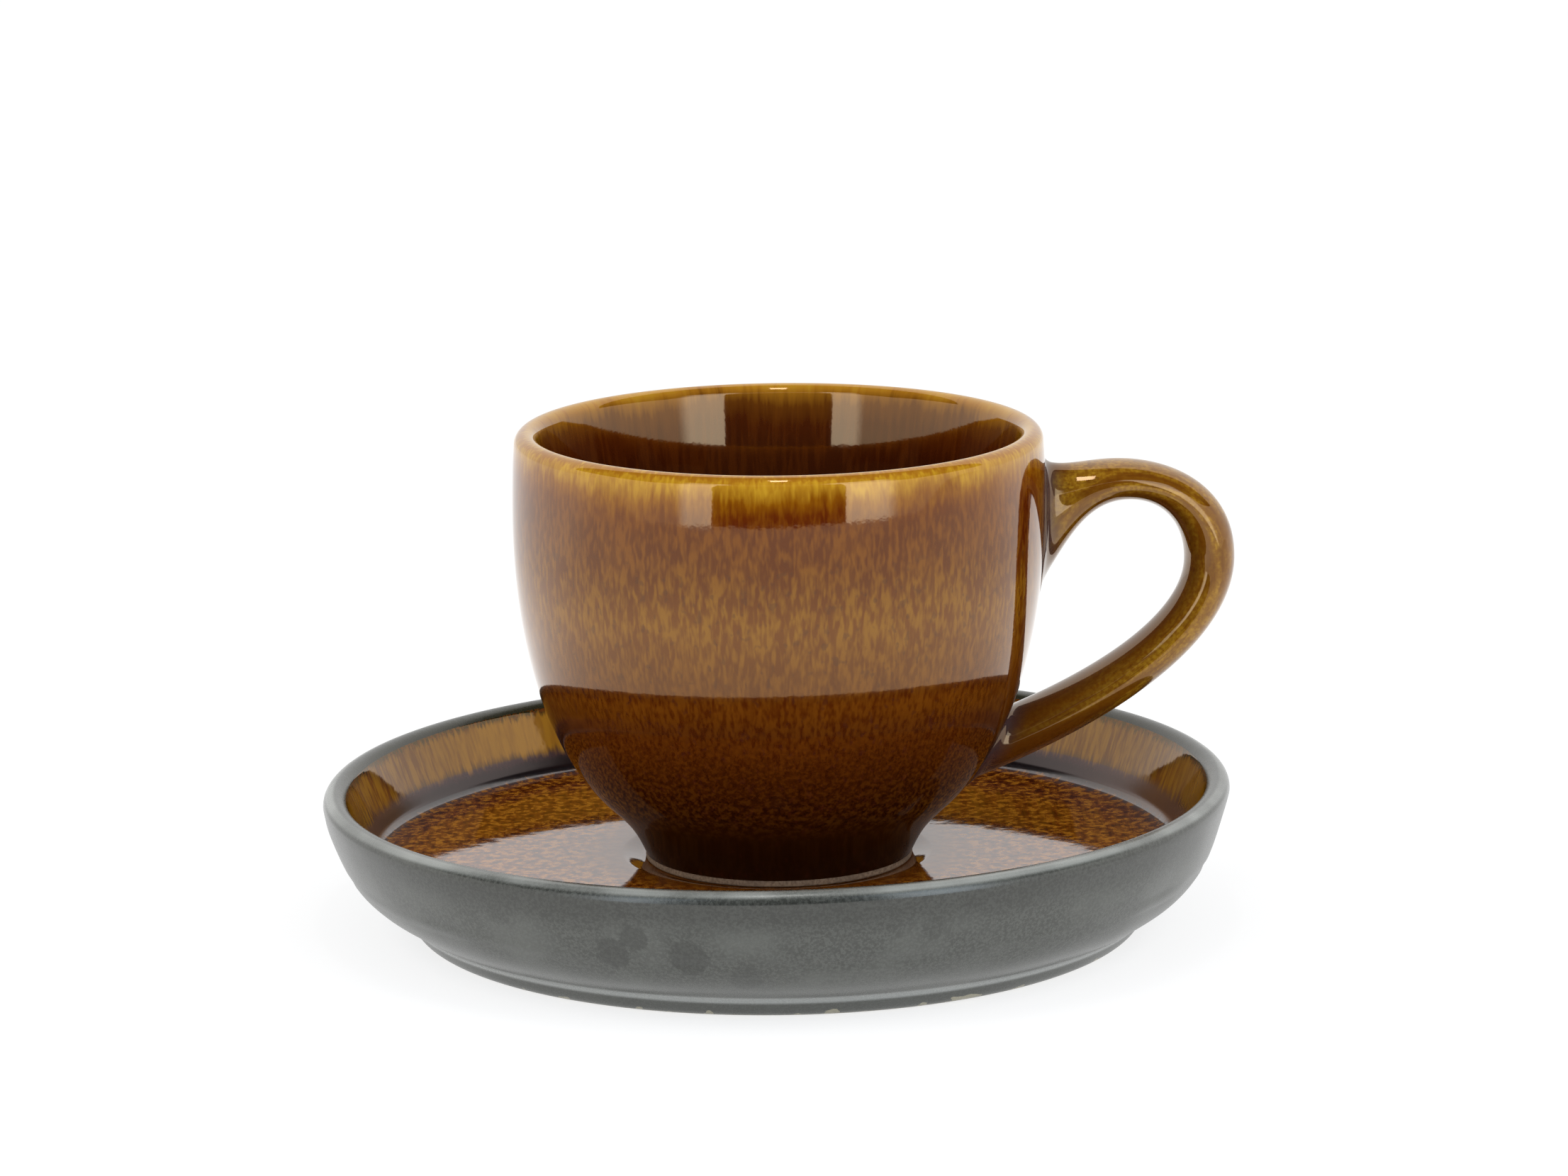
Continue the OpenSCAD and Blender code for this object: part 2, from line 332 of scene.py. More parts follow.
def floorMaterial(user):
    material = bpy.data.materials.new("tablePaper")
    material.use_nodes = True
    n = Nodes(material.node_tree)
    material.node_tree.nodes.remove(material.node_tree.nodes["Principled BSDF"])
    paper = n.add("ShaderNodeBsdfDiffuse")
    n.feed(paper.inputs["Color"], user["paper"])
    thinPaper = n.add("ShaderNodeBsdfDiffuse")
    n.feed(thinPaper.inputs["Color"], (user["shade"],) * 3)
    glow = n.add("ShaderNodeEmission")
    # in gloss the paper is brighter towards the back and dimmer in front
    spot = n.add("ShaderNodeSeparateXYZ")
    n.feed(spot.inputs[0], n.add("ShaderNodeTexCoord").outputs["Object"])
    x, y = (n.math("DIVIDE", spot.outputs[i], mm) for i in range(2))
    depth = n.math("MULTIPLY_ADD", y, user["paperRise"], user["paperMiddle"])
    depth = n.math("MULTIPLY_ADD", n.math("MAXIMUM", y, 0.0), user["paperBack"], depth)
    away = n.math("SQRT", n.math("ADD", n.math("MULTIPLY", x, x), n.math("MULTIPLY", y, y)))
    radius, gain, fall = user["paperRing"]
    ring = n.math("MULTIPLY_ADD", n.math("ABSOLUTE", n.math("SUBTRACT", away, radius)), -fall, gain)
    dimmest, brightest = user["paperLimits"]
    depth = n.math("MULTIPLY", n.math("MINIMUM", n.math("MAXIMUM", depth, dimmest), brightest),
                   n.math("ADD", 1.0, n.math("MAXIMUM", ring, 0.0)))
    path = n.add("ShaderNodeLightPath")
    share = n.math("MULTIPLY_ADD", n.math("SUBTRACT", depth, 1.0), path.outputs["Is Glossy Ray"], 1.0)
    share = n.math("MULTIPLY", share, mirrorShare(n, user))
    n.feed(glow.inputs["Strength"], n.math("MULTIPLY", share, user["glow"]))
    seen = n.add("ShaderNodeAddShader")
    n.feed(seen.inputs[0], thinPaper.outputs[0])
    n.feed(seen.inputs[1], glow.outputs[0])
    either = n.add("ShaderNodeMixShader")
    n.feed(either.inputs[0], backgroundShare(n))
    n.feed(either.inputs[1], paper.outputs[0])
    n.feed(either.inputs[2], seen.outputs[0])
    n.feed(material.node_tree.nodes["Material Output"].inputs["Surface"], either.outputs[0])
    return material


def stageSheet(name, corners, material, degrees):
    turn = Matrix.Rotation(math.radians(degrees), 3, "Z")
    bm = bmesh.new()
    bm.faces.new([bm.verts.new(turn @ Vector(c) * mm) for c in corners])
    mesh = bpy.data.meshes.new(name)
    bm.to_mesh(mesh)
    bm.free()
    mesh.materials.append(material)
    sheet = bpy.data.objects.new(name, mesh)
    bpy.context.scene.collection.objects.link(sheet)
    return sheet


def addStudio(user):
    half, front, bowed = user["tableHalf"], user["tableFront"], user["frontBow"]
    bow = [math.radians(a) for a in range(-bowed, bowed + 1, 5)]
    edge = [(front * math.sin(a), -front * math.cos(a), 0) for a in bow]
    side = edge[-1][1]
    stageSheet("table", edge + [(half, side, 0), (half, half, 0), (-half, half, 0), (-half, side, 0)],
               floorMaterial(user), user["turn"])
    # dark cards in front, between the panels, and overhead, which only the glaze sees
    card, n, shader = newMaterial("darkCard")
    n.feed(shader.inputs["Base Color"], user["cardColour"])
    n.feed(shader.inputs["Roughness"], user["cardRoughness"])
    wide, away = user["cardHalf"], user["cardDistance"]
    low, high = user["cardHeights"]
    flags = [stageSheet("darkCard", [(-wide, -away, low), (wide, -away, low), (wide, -away, high),
                                     (-wide, -away, high)], card, user["turn"])]
    wide, before, behind, high = user["ceiling"]
    flags.append(stageSheet("darkCeiling", [(-wide, -before, high), (wide, -before, high),
                                            (wide, behind, high), (-wide, behind, high)],
                            card, user["turn"]))
    for flag in flags:
        for ray in ("camera", "diffuse", "shadow", "transmission"):
            setattr(flag, "visible_" + ray, False)
    for name, (degrees, distance, height, wide, tall, radiance) in user["boxes"].items():
        light = bpy.data.lights.new(name, "AREA")
        light.shape = "RECTANGLE"
        light.size, light.size_y = wide * mm, tall * mm
        light.energy = radiance * math.pi * light.size * light.size_y
        light.color = user["panelColour"] if "Panel" in name else (1, 1, 1)
        light.use_nodes = True
        n = Nodes(light.node_tree)
        path = n.add("ShaderNodeLightPath")
        once = n.math("LESS_THAN", path.outputs["Glossy Depth"], 1.5)
        across = n.add("ShaderNodeSeparateXYZ")
        n.feed(across.inputs[0], n.add("ShaderNodeNewGeometry").outputs["Parametric"])
        fromMiddle = n.math("ABSOLUTE", n.math("SUBTRACT", across.outputs[0], 0.5))
        soft = n.ramp(fromMiddle, 0.5 - user["panelSoft"], 0.5, 1, 0) if "Panel" in name else 1.0
        n.feed(light.node_tree.nodes["Emission"].inputs["Strength"], n.math("MULTIPLY", once, soft))
        box = bpy.data.objects.new(name, light)
        turn = math.radians(degrees + user["turn"])
        place = Vector((math.sin(turn) * distance, -math.cos(turn) * distance, height)) * mm
        aim = (Vector((0, 0, user["boxAim"] * mm)) - place).to_track_quat("-Z", "Y").to_matrix().to_4x4()
        box.matrix_world = Matrix.Translation(place) @ aim
        box.visible_camera = False
        box.visible_glossy = "Lamp" not in name
        bpy.context.scene.collection.objects.link(box)


addWorld(studio)
addStudio(studio)
print("studio ready")


# Saucer

saucer = {
    "steps": 288,
    "footInner": 42.0, "footOuter": 46.0, "recess": 41.5, "recessTop": 3.7,
    "bandTop": (49.1, 2.2), "bandPull": (48.35, 0.9), "ledge": (49.62, 2.72),
    "outerPulls": ((52.83, 5.23), (57.12, 5.31)),
    "rimRadius": 1.6, "rimCentre": (58.4, 17.8),
    "wallLean": 21.0,         # degrees that the wall leans outwards by, inside
    "sweep": 1.8, "floorHeight": 9.5,
    "wellEdge": 20.7, "wellRadius": 17.85, "wellHeight": 8.9,
    "wellPulls": (20.1, 18.7),
    # rise of the rim towards the photograph's right, in mm for each mm, and where it sets in
    "rimTilt": 0.0109, "tiltHeights": (2.5, 17), "tiltRadii": (46, 56),
    # depth and width of the lumps, how much flatter than wide they are, and where they set in and end
    "lumps": 0.32, "lumpWide": 13, "lumpSquash": 1.6,
    "lumpRadii": (49.5, 52), "lumpStart": (2, 4), "lumpEnd": (15, 18),
    "outerBelow": 9, "outerBeyond": 57.5,    # height and radius that tell the outer side from the inner
    "zones": (-1.9, -8.4, -10.8),            # runs at which the glazes of wall, pool and floor begin
}


def saucerOutline(user):
    rimX, rimZ = user["rimCentre"]
    rim = user["rimRadius"]
    outline = [(0, user["recessTop"])]
    outline += linePoints((0, user["recessTop"]), (user["recess"] - 1.0, user["recessTop"]), 12)
    outline += arcPoints((user["recess"] - 1.0, user["recessTop"] - 1.0), 1.0, 90, 0, 5)[1:]
    outline += linePoints((user["recess"], user["recessTop"] - 1.0), (user["recess"], 0.5), 3)
    outline += arcPoints((user["recess"] + 0.5, 0.5), 0.5, 180, 270, 5)[1:]
    outline += linePoints((user["footInner"], 0), (user["footOuter"] - 0.5, 0), 4)
    outline += curvePoints((user["footOuter"] - 0.5, 0), (user["footOuter"] + 2.0, 0),
                           user["bandPull"], user["bandTop"], 16)
    outline += linePoints(user["bandTop"], user["ledge"], 3)
    outline += curvePoints(user["ledge"], *user["outerPulls"], (rimX + rim, rimZ), 44)
    outline += arcPoints((rimX, rimZ), rim, 0, 180 - user["wallLean"], 22)[1:]
    sweep = user["sweep"]
    lean = math.radians(user["wallLean"])
    top = outline[-1]
    middle = (top[0] - (top[1] - user["floorHeight"] - sweep) * math.tan(lean) - sweep / math.cos(lean),
              user["floorHeight"] + sweep)
    bend = arcPoints(middle, sweep, -user["wallLean"], -90, 14)
    outline += linePoints(top, bend[0], 20)
    outline += bend[1:]
    outline += linePoints(bend[-1], (user["wellEdge"], user["floorHeight"]), 24)
    outer, inner = user["wellPulls"]
    outline += curvePoints((user["wellEdge"], user["floorHeight"]), (outer, user["floorHeight"]),
                           (inner, user["wellHeight"] + 0.16), (user["wellRadius"], user["wellHeight"]), 14)
    outline += linePoints((user["wellRadius"], user["wellHeight"]), (0, user["wellHeight"]), 10)
    return outline


def handMadeSaucer(bm, user):
    # a kiln-warped rim and the soft lumps of a hand-finished outer wall
    for v in bm.verts:
        x, y, z = v.co
        radius = math.hypot(x, y)
        lift = smoothStep(*user["tiltHeights"], z) * smoothStep(*user["tiltRadii"], radius)
        v.co.z += user["rimTilt"] * v.co.dot(toRight) * lift
        outside = (smoothStep(*user["lumpRadii"], radius) * (1 - smoothStep(*user["lumpEnd"], z))
                   * smoothStep(*user["lumpStart"], z))
        if z < user["outerBelow"] or radius > user["outerBeyond"]:
            place = Vector((x, y, z * user["lumpSquash"])) / user["lumpWide"]
            push = noise.noise(place) * user["lumps"] * outside
            v.co.x += x / radius * push if radius > 1 else 0
            v.co.y += y / radius * push if radius > 1 else 0


amber = {
    "roughness": 0.045, "ior": 1.95, "tint": (1.0, 0.68, 0.39), "floorTint": (1.0, 0.95, 0.92),
    "poolTint": (0.7, 0.58, 0.55), "poolRoughness": 0.16,
    "waveWide": 7.0, "waveDeep": 0.010,
    "crinkleWide": 0.62, "crinkleDeep": 0.0022,
    "rippleWide": 2.4, "rippleDeep": 0.010,
    # the last colour on the next line is painted light, lifting the back wall where the cup shades it
    "wallLow": (0.17, 0.045, 0.004), "wallGold": (0.40, 0.185, 0.012), "paintedBackLight": (0.60, 0.29, 0.028),
    "floorDark": (0.06, 0.010, 0.001), "floorBrown": (0.175, 0.042, 0.003),
    "floorGold": (0.39, 0.145, 0.012),
    # painted shade round the cup's foot, along with glaze pooled there, and the radii over which it sets in
    # and ends
    "footShadeAndPool": (0.12, 0.032, 0.003), "nearFrom": (15, 18), "nearTo": (20, 28),
    "sideBrown": (0.20, 0.085, 0.035),        # low on the wall at the front and sides
    # the last colour on the next line is a painted lilac reflection
    "violet": (0.055, 0.022, 0.024), "pool": (0.008, 0.004, 0.006), "paintedVeil": (0.06, 0.036, 0.036),
    # marks of the saucer: width and length on a wall of that radius, and across on the floor
    "wallGirth": 56, "streak": (1.0, 5.5), "hair": (0.5, 2.6), "coarse": 1.35, "fine": 0.55,
    # ways down from the rim's top between which the olive ends, the wall turns brown or violet, pools dark,
    # takes on a painted lilac reflection and gives way to the floor, and between which its gloss gets
    # duller and clear again
    "oliveWays": (2.0, 3.0), "brownWays": (7.0, 8.8), "poolWays": (8.6, 9.6), "veilWays": (11.0, 11.7),
    "floorWays": (11.4, 12.6), "dullFrom": (7.0, 8.8), "dullTo": (10.8, 11.8),
}

greyGlaze = {
    "roughness": 0.27, "ior": 1.75, "tint": (1.0, 0.985, 0.94),
    "colour": (0.046, 0.048, 0.041), "dark": (0.018, 0.019, 0.016), "pale": (0.090, 0.093, 0.081),
    "olive": (0.026, 0.024, 0.008), "clay": (0.52, 0.47, 0.34), "clayDark": (0.36, 0.31, 0.2),
    # painted highlight colours: a pale line along the rim's crest and a brighter one along the foot's ledge
    "crest": (0.27, 0.275, 0.255), "ledge": (0.42, 0.425, 0.40),
    "grainWide": 0.42, "cloudWide": 11.0, "wormWide": 0.62, "ragWide": 0.9, "chipWide": 3.6,
    "grainDeep": 0.006, "cloudDeep": 0.1, "grainShine": 0.14,
    # runs between which the painted shade under the rim begins and ends, and heights over which the foot
    # gets a painted sheen, paler low down
    "shadeFrom": (1.2, 2.4), "shadeTo": (3.5, 8.0), "sheenHeights": (3.0, 8.0),
    # where the painted highlights lie: run of the crest line and height of the ledge line
    "crestRun": 0.75, "ledgeHeight": 2.8,
    "oliveFrom": -0.2, "oliveTo": -1.3,
    "oliveEdge": (57, 0.5, 9.0),              # radius, width and length of the edge's teeth
    "clayTop": 0.34, "chipTall": 0.8,
    "markRadius": 57.5, "markRagged": 1.5, "markSoft": 0.25,
}

# round water marks in the grey glaze: degrees round from the handle, height, size in mm and strength
waterMarks = [(-118.2, 10.4, 2.2, 0.8), (-115.3, 12.7, 1.9, 0.75), (-108.5, 10.2, 2.4, 0.8),
              (-110.5, 12.4, 0.8, 0.5), (-101.6, 7.4, 2.1, 0.5), (-78.2, 13.6, 1.4, 0.4),
              (-134.1, 13.8, 1.5, 0.35), (38, 9.0, 2.4, 0.7), (43, 10.6, 1.8, 0.6),
              (121, 8.4, 2.6, 0.7), (168, 10.2, 2.0, 0.6)]


def oliveEdge(n, p, user):
    # one uneven line for the two glazes that meet along the rim
    return n.noise(wrapped(n, p, *user["oliveEdge"]), 1.0, 3.0, 0.6)


def greyMaterial(user):
    material, n, shader = newMaterial("greyGlaze")
    p = potPlaces(n)
    grain = n.noise(flat(n, p, user["grainWide"]), 1.0, 2.0, 0.6)
    cloud = n.noise(flat(n, p, user["cloudWide"]), 1.0, 2.0)
    # short worm-like lines, darker than the ground, thicker in some places than in others
    bend = n.noise(flat(n, p, user["wormWide"], 9.0), 1.0, 1.0, 0.5, 0.6)
    worm = n.ramp(n.math("ABSOLUTE", n.math("SUBTRACT", bend, 0.5)), 0.005, 0.07, 1, 0)
    colour = n.mix(n.ramp(grain, 0.36, 0.64), user["dark"], user["pale"])
    colour = n.mix(0.5, user["colour"], colour)
    colour = n.mix(n.math("MULTIPLY", worm, n.ramp(cloud, 0.35, 0.65, 0.2, 0.6)), colour, user["dark"])
    colour = n.mix(n.ramp(cloud, 0.42, 0.68, 0, 0.6), colour, user["pale"])
    under = n.math("MULTIPLY", n.ramp(p["run"], *user["shadeFrom"]),
                   n.ramp(p["run"], *user["shadeTo"], 0.95, 0))
    colour = n.mix(n.math("MULTIPLY", under, n.ramp(grain, 0.3, 0.6, 1.2, 0.7)), colour, user["dark"])
    # painted sheen: paler low on the wall, standing in for the bright table reflected there
    colour = n.mix(n.ramp(p["z"], *user["sheenHeights"], 0.5, 0), colour, user["pale"])
    # painted highlights along the rim's crest and the foot's ledge, patchy with the cloud
    crest = n.math("ABSOLUTE", n.math("SUBTRACT", p["run"], user["crestRun"]))
    highlightShare = n.ramp(cloud, 0.3, 0.7, 0.35, 0.95)
    colour = n.mix(n.ramp(crest, 0.3, 0.9, highlightShare, 0), colour, user["crest"])
    ledge = n.math("ABSOLUTE", n.math("SUBTRACT", p["z"], user["ledgeHeight"]))
    colour = n.mix(n.ramp(ledge, 0.25, 0.8, 0.85, 0), colour, user["ledge"])
    ragged = n.math("ADD", n.noise(flat(n, p, user["ragWide"], 3.0), 1.0, 2.0),
                    n.math("MULTIPLY", bend, 0.6))
    mark = n.mix(n.ramp(grain, 0.4, 0.65, 0, 0.45), user["dark"], user["colour"])
    reach, soft = user["markRadius"], user["markSoft"]
    for degrees, height, size, strength in waterMarks:
        turn = math.radians(degrees)
        away = n.add("ShaderNodeVectorMath", operation="DISTANCE")
        n.feed(away.inputs[0], n.join(n.math("MULTIPLY", p["east"], reach),
                                      n.math("MULTIPLY", p["north"], reach), p["z"]))
        n.feed(away.inputs[1], (math.cos(turn) * reach, math.sin(turn) * reach, height))
        rough = n.math("MULTIPLY_ADD", n.math("SUBTRACT", ragged, 0.8), user["markRagged"],
                       away.outputs["Value"])
        colour = n.mix(n.ramp(rough, size - soft, size + soft, strength, 0), colour, mark)
    run = n.math("MULTIPLY_ADD", n.math("SUBTRACT", oliveEdge(n, p, user), 0.5), 1.6, p["run"])
    colour = n.mix(n.ramp(run, user["oliveTo"], user["oliveFrom"], 1, 0), colour, user["olive"])
    # bare clay under the foot, with chips in the glaze's lower edge
    chips = n.ramp(n.noise(flat(n, p, user["chipWide"], 5.0), 1.0, 2.0), 0.57, 0.66, 0, user["chipTall"])
    bare = n.math("LESS_THAN", p["z"], n.math("ADD", n.math("ADD", chips, user["clayTop"]),
                                              n.math("MULTIPLY", grain, 0.12)))
    colour = n.mix(bare, colour, n.mix(grain, user["clay"], user["clayDark"]))
    n.feed(shader.inputs["Base Color"], colour)
    shine = user["grainShine"]
    n.feed(shader.inputs["Roughness"], n.math("MULTIPLY_ADD", grain, shine, user["roughness"] - shine / 2))
    n.feed(shader.inputs["IOR"], user["ior"])
    n.feed(shader.inputs["Specular Tint"], user["tint"])
    pits = n.bump(grain, user["grainDeep"] * mm)
    n.feed(shader.inputs["Normal"], n.bump(cloud, user["cloudDeep"] * mm, before=pits))
    return material


def saucerGlaze(name, user, rimUser, tint):
    material, n, shader = newMaterial(name)
    p = potPlaces(n)
    way = n.math("MULTIPLY", p["run"], -1.0)
    # hanging streaks on the wall, then violet and black where the glaze has run together below them
    streak = n.noise(wrapped(n, p, user["wallGirth"], *user["streak"]), 1.0, 2.0, 0.5, 0.2)
    hair = n.noise(wrapped(n, p, user["wallGirth"], *user["hair"], 5.0), 1.0, 1.0)
    both = n.math("MULTIPLY_ADD", hair, 0.35, n.math("MULTIPLY", streak, 0.65))
    wall = n.mix(n.ramp(both, 0.36, 0.62), user["wallLow"], user["wallGold"])
    # painted light: paler gold on the back wall, most to the left, where the cup's shadow falls
    backLightShare = n.math("MULTIPLY", n.ramp(p["north"], 0.5, 0.95, 0, 0.6),
                   n.ramp(p["east"], -0.3, 0.2, 1, 0.5))
    wall = n.mix(backLightShare, wall, user["paintedBackLight"])
    wall = n.mix(n.ramp(p["north"], -0.2, 0.4, 0.7, 0), wall, user["wallGold"])
    drip = n.math("MULTIPLY_ADD", n.math("SUBTRACT", both, 0.5), -4.0, way)
    back = n.ramp(p["north"], 0.05, 0.65)
    wall = n.mix(n.ramp(drip, *user["brownWays"]), wall, n.mix(back, user["sideBrown"], user["violet"]))
    pool = n.math("MULTIPLY_ADD", n.math("SUBTRACT", hair, 0.5), 1.2, way)
    wall = n.mix(n.ramp(pool, *user["poolWays"]), wall, n.mix(back, user["sideBrown"], user["pool"]))
    # painted reflection: a lilac veil where the pool curves into the floor
    wall = n.mix(n.ramp(pool, *user["veilWays"]), wall, user["paintedVeil"])
    # flecks on the floor
    coarse = n.noise(flat(n, p, user["coarse"], 4.0), 1.0, 1.0, 0.5)
    fine = n.noise(flat(n, p, user["fine"]), 1.0, 2.0, 0.6)
    fleck = n.math("MULTIPLY_ADD", fine, 0.42, n.math("MULTIPLY", coarse, 0.58))
    floor = n.mix(n.ramp(fleck, 0.39, 0.50), user["floorDark"], user["floorBrown"])
    floor = n.mix(n.ramp(fleck, 0.48, 0.60), floor, user["floorGold"])
    # painted shade round the cup's foot, along with glaze pooled there
    near = n.math("MULTIPLY", n.ramp(p["radius"], *user["nearFrom"]),
                  n.ramp(p["radius"], *user["nearTo"], 0.85, 0))
    floor = n.mix(near, floor, user["footShadeAndPool"])
    shore = n.math("MULTIPLY_ADD", n.math("SUBTRACT", fleck, 0.5), 4.0, way)
    colour = n.mix(n.ramp(shore, *user["floorWays"]), wall, floor)
    olive = n.math("MULTIPLY_ADD", n.math("SUBTRACT", oliveEdge(n, p, rimUser), 0.5), 3.2, way)
    sprinkle = n.mix(n.ramp(fine, 0.46, 0.62), rimUser["olive"], user["wallLow"])
    colour = n.mix(n.ramp(olive, *user["oliveWays"], 1, 0), colour, sprinkle)
    n.feed(shader.inputs["Base Color"], colour)
    glossy(n, shader, user, tint)
    duller = n.math("MULTIPLY", n.ramp(pool, *user["dullFrom"]), n.ramp(pool, *user["dullTo"], 1, 0))
    roughness = n.math("MULTIPLY_ADD", duller, user["poolRoughness"], user["roughness"])
    n.feed(shader.inputs["Roughness"], roughness)
    glazeSkin(n, shader, p, user, ("wave", "ripple", "crinkle"))
    return material


def makeSaucer(user):
    outline = saucerOutline(user)
    rimTop = max(range(len(outline)), key=lambda i: outline[i][1])
    bm = revolve(outline, user["steps"], rimTop)
    handMadeSaucer(bm, user)
    wallFrom, poolFrom, floorFrom = user["zones"]
    paintRuns(bm, [(wallFrom, 1000), (poolFrom, wallFrom), (floorFrom, poolFrom), (-1000, floorFrom)])
    finishPiece(bm, "glazedSaucer",
                [greyMaterial(greyGlaze), saucerGlaze("saucerWallGlaze", amber, greyGlaze, "tint"),
                 saucerGlaze("saucerPoolGlaze", amber, greyGlaze, "poolTint"),
                 saucerGlaze("saucerFloorGlaze", amber, greyGlaze, "floorTint")],
                "saucer", "saucer")


makeSaucer(saucer)


# Cup

cup = {
    "steps": 288,
    "stand": 8.9,             # height of the well's floor, on which the foot stands
    "footInner": 14.6, "footOuter": 17.7, "footHollow": 2.2, "footBand": 0.9,
    "neckTop": (22.95, 7.9), "neckPulls": ((19.27, 4.42), (20.29, 5.42)),
    "belly": (35.0, 47.5), "bellyPulls": ((30.91, 15.33), (35.0, 29.28)),
    "shoulderPull": 50.6,     # height that the wall above the belly is pulled straight up to
    "lipRadius": 1.6, "lipCentre": (33.12, 56.0), "lipPull": 2.4,
    "lipLean": 5.0,           # degrees that the wall has turned inwards by where the lip's round begins
    "flare": 12.5,            # degrees that the mouth opens by, inside
    "mouthPull": 10.5, "wallInside": (29.1, 35.0), "insidePull": 5,
    "innerFloor": 6.8, "innerFloorEdge": 9.1, "floorPulls": (20.0, 21.15),
    "lean": 0.0092,           # towards the photograph's right, in mm for each mm of height
    "offCentre": 0.3,         # how far it stands that way from the middle of the well
    # the way to the handle is measured beyond this X and height, and anywhere else taken as far
    "handleSide": 15, "far": 30,
}


def cupOuterOutline(user):
    # the side that shows, from the foot up to the lip
    lipX, lipZ = user["lipCentre"]
    lip = user["lipRadius"]
    points = [(user["footOuter"], user["footBand"])]
    points += curvePoints(points[-1], *user["neckPulls"], user["neckTop"], 18)
    points += curvePoints(user["neckTop"], *user["bellyPulls"], user["belly"], 54)
    slope, pull = math.radians(user["lipLean"]), user["lipPull"]
    end = (lipX + lip * math.cos(slope), lipZ + lip * math.sin(slope))
    points += curvePoints(user["belly"], (user["belly"][0], user["shoulderPull"]),
                          (end[0] + pull * math.sin(slope), end[1] - pull * math.cos(slope)), end, 16)
    return points


def cupOutline(user):
    lipX, lipZ = user["lipCentre"]
    lip = user["lipRadius"]
    hollow, inner = user["footHollow"], user["footInner"]
    outline = [(0, hollow)]
    outline += linePoints((0, hollow), (inner - 0.9, hollow), 6)
    outline += arcPoints((inner - 0.9, hollow - 0.6), 0.6, 90, 0, 4)[1:]
    outline += linePoints((inner - 0.3, hollow - 0.6), (inner - 0.3, 0.3), 3)
    outline += arcPoints((inner, 0.3), 0.3, 180, 270, 4)[1:]
    outline += linePoints((inner, 0), (user["footOuter"] - 0.3, 0), 4)
    outline += arcPoints((user["footOuter"] - 0.3, 0.3), 0.3, 270, 360, 5)[1:]
    outline += linePoints((user["footOuter"], 0.3), (user["footOuter"], user["footBand"]), 3)
    outline += cupOuterOutline(user)[1:]
    outline += arcPoints((lipX, lipZ), lip, user["lipLean"], 180 - user["flare"], 26)[1:]
    mouth = outline[-1]
    slope, pull = math.radians(user["flare"]), user["mouthPull"]
    wallX, wallZ = user["wallInside"]
    outline += curvePoints(mouth, (mouth[0] - pull * math.sin(slope), mouth[1] - pull * math.cos(slope)),
                           (wallX, wallZ + user["insidePull"]), (wallX, wallZ), 24)
    pullZ, pullX = user["floorPulls"]
    outline += curvePoints((wallX, wallZ), (wallX, pullZ), (pullX, user["innerFloor"]),
                           (user["innerFloorEdge"], user["innerFloor"]), 40)
    outline += linePoints((user["innerFloorEdge"], user["innerFloor"]), (0, user["innerFloor"]), 6)
    return [(r, z + user["stand"]) for r, z in outline]


def leanOver(bm, user):
    for v in bm.verts:
        v.co += toRight * (user["offCentre"] + user["lean"] * (v.co.z - user["stand"]))


bareClay = {
    "grainWide": 0.35, "grainDeep": 0.03, "cloudWide": 3.0,
    "dark": (0.16, 0.10, 0.06), "pale": (0.27, 0.18, 0.115), "stain": (0.15, 0.10, 0.065),
    "roughness": 0.82,
}


def clayMaterial(user):
    material, n, shader = newMaterial("bareClay")
    p = potPlaces(n)
    grain = n.noise(flat(n, p, user["grainWide"]), 1.0, 3.0, 0.6)
    cloud = n.noise(flat(n, p, user["cloudWide"]), 1.0, 2.0)
    colour = n.mix(n.ramp(grain, 0.35, 0.65), user["dark"], user["pale"])
    n.feed(shader.inputs["Base Color"], n.mix(n.ramp(cloud, 0.4, 0.7, 0, 0.4), colour, user["stain"]))
    n.feed(shader.inputs["Roughness"], user["roughness"])
    n.feed(shader.inputs["Normal"], n.bump(grain, user["grainDeep"] * mm))
    return material


# colours of the cup's glaze by height above the foot in mm: between its flecks, and of the flecks
glazeLow = [(0, (0.010, 0.004, 0.0015)), (4, (0.005, 0.002, 0.001)), (9, (0.010, 0.003, 0.001)),
            (13, (0.020, 0.004, 0.001)), (17, (0.035, 0.007, 0.001)), (22, (0.056, 0.010, 0.001)),
            (28, (0.072, 0.012, 0.001)), (34, (0.098, 0.020, 0.001)), (38, (0.110, 0.024, 0.001)),
            (42, (0.086, 0.014, 0.001)), (46, (0.072, 0.009, 0.001)), (50.5, (0.074, 0.009, 0.001)),
            (52.6, (0.10, 0.016, 0.001)), (54.4, (0.18, 0.052, 0.001)), (56.4, (0.36, 0.165, 0.009))]
glazeFleck = [(0, (0.014, 0.005, 0.002)), (4, (0.007, 0.003, 0.001)), (9, (0.013, 0.004, 0.001)),
              (13, (0.026, 0.006, 0.001)), (17, (0.050, 0.011, 0.001)), (22, (0.095, 0.023, 0.002)),
              (28, (0.15, 0.042, 0.003)), (34, (0.185, 0.066, 0.004)), (38, (0.21, 0.084, 0.005)),
              (42, (0.185, 0.068, 0.004)), (46, (0.155, 0.045, 0.003)), (50.5, (0.145, 0.036, 0.002)),
              (52.6, (0.15, 0.038, 0.002)), (54.4, (0.24, 0.084, 0.002)), (56.4, (0.46, 0.245, 0.015))]
# the same inside, by the way down from the lip's crest
glazeInside = [(0, (0.48, 0.25, 0.018)), (1.6, (0.32, 0.13, 0.008)), (3.4, (0.12, 0.034, 0.0025)),
               (6, (0.060, 0.010, 0.001)), (10, (0.036, 0.006, 0.001)), (18, (0.028, 0.005, 0.001)),
               (30, (0.025, 0.005, 0.001)), (70, (0.020, 0.004, 0.001))]


